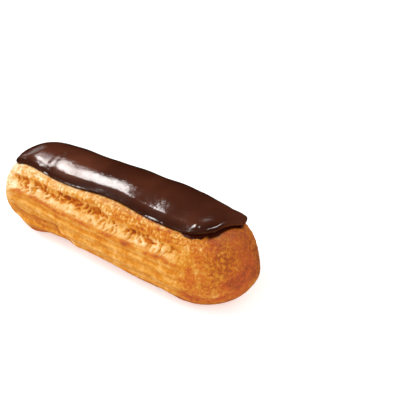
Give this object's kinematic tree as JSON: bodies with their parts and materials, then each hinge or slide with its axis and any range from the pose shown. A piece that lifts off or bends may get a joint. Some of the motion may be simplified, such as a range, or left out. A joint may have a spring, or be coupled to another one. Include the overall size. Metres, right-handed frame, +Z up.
{
  "type": "chocolate eclair",
  "caption": "Long choux pastry bun with piped ribs, a torn crust along its flanks, a browned rounded front end and a strip of set dark chocolate icing laid over its top.",
  "frame": {"origin": "middle of the bounding box's base, where the eclair rests", "axes": "+Z up, +X along the eclair to its browned front end, -Y the side with the clearest torn band"},
  "size_m": [0.14, 0.044, 0.0403],
  "materials": {
    "choux_crust": "golden baked choux crust, matt, with paler torn dough and browner ends",
    "chocolate_icing": "smooth set dark chocolate icing with a soft gloss"
  },
  "bodies": {
    "root": {"choux_shell": "choux_crust", "chocolate_icing": "chocolate_icing"}
  },
  "joints": []
}
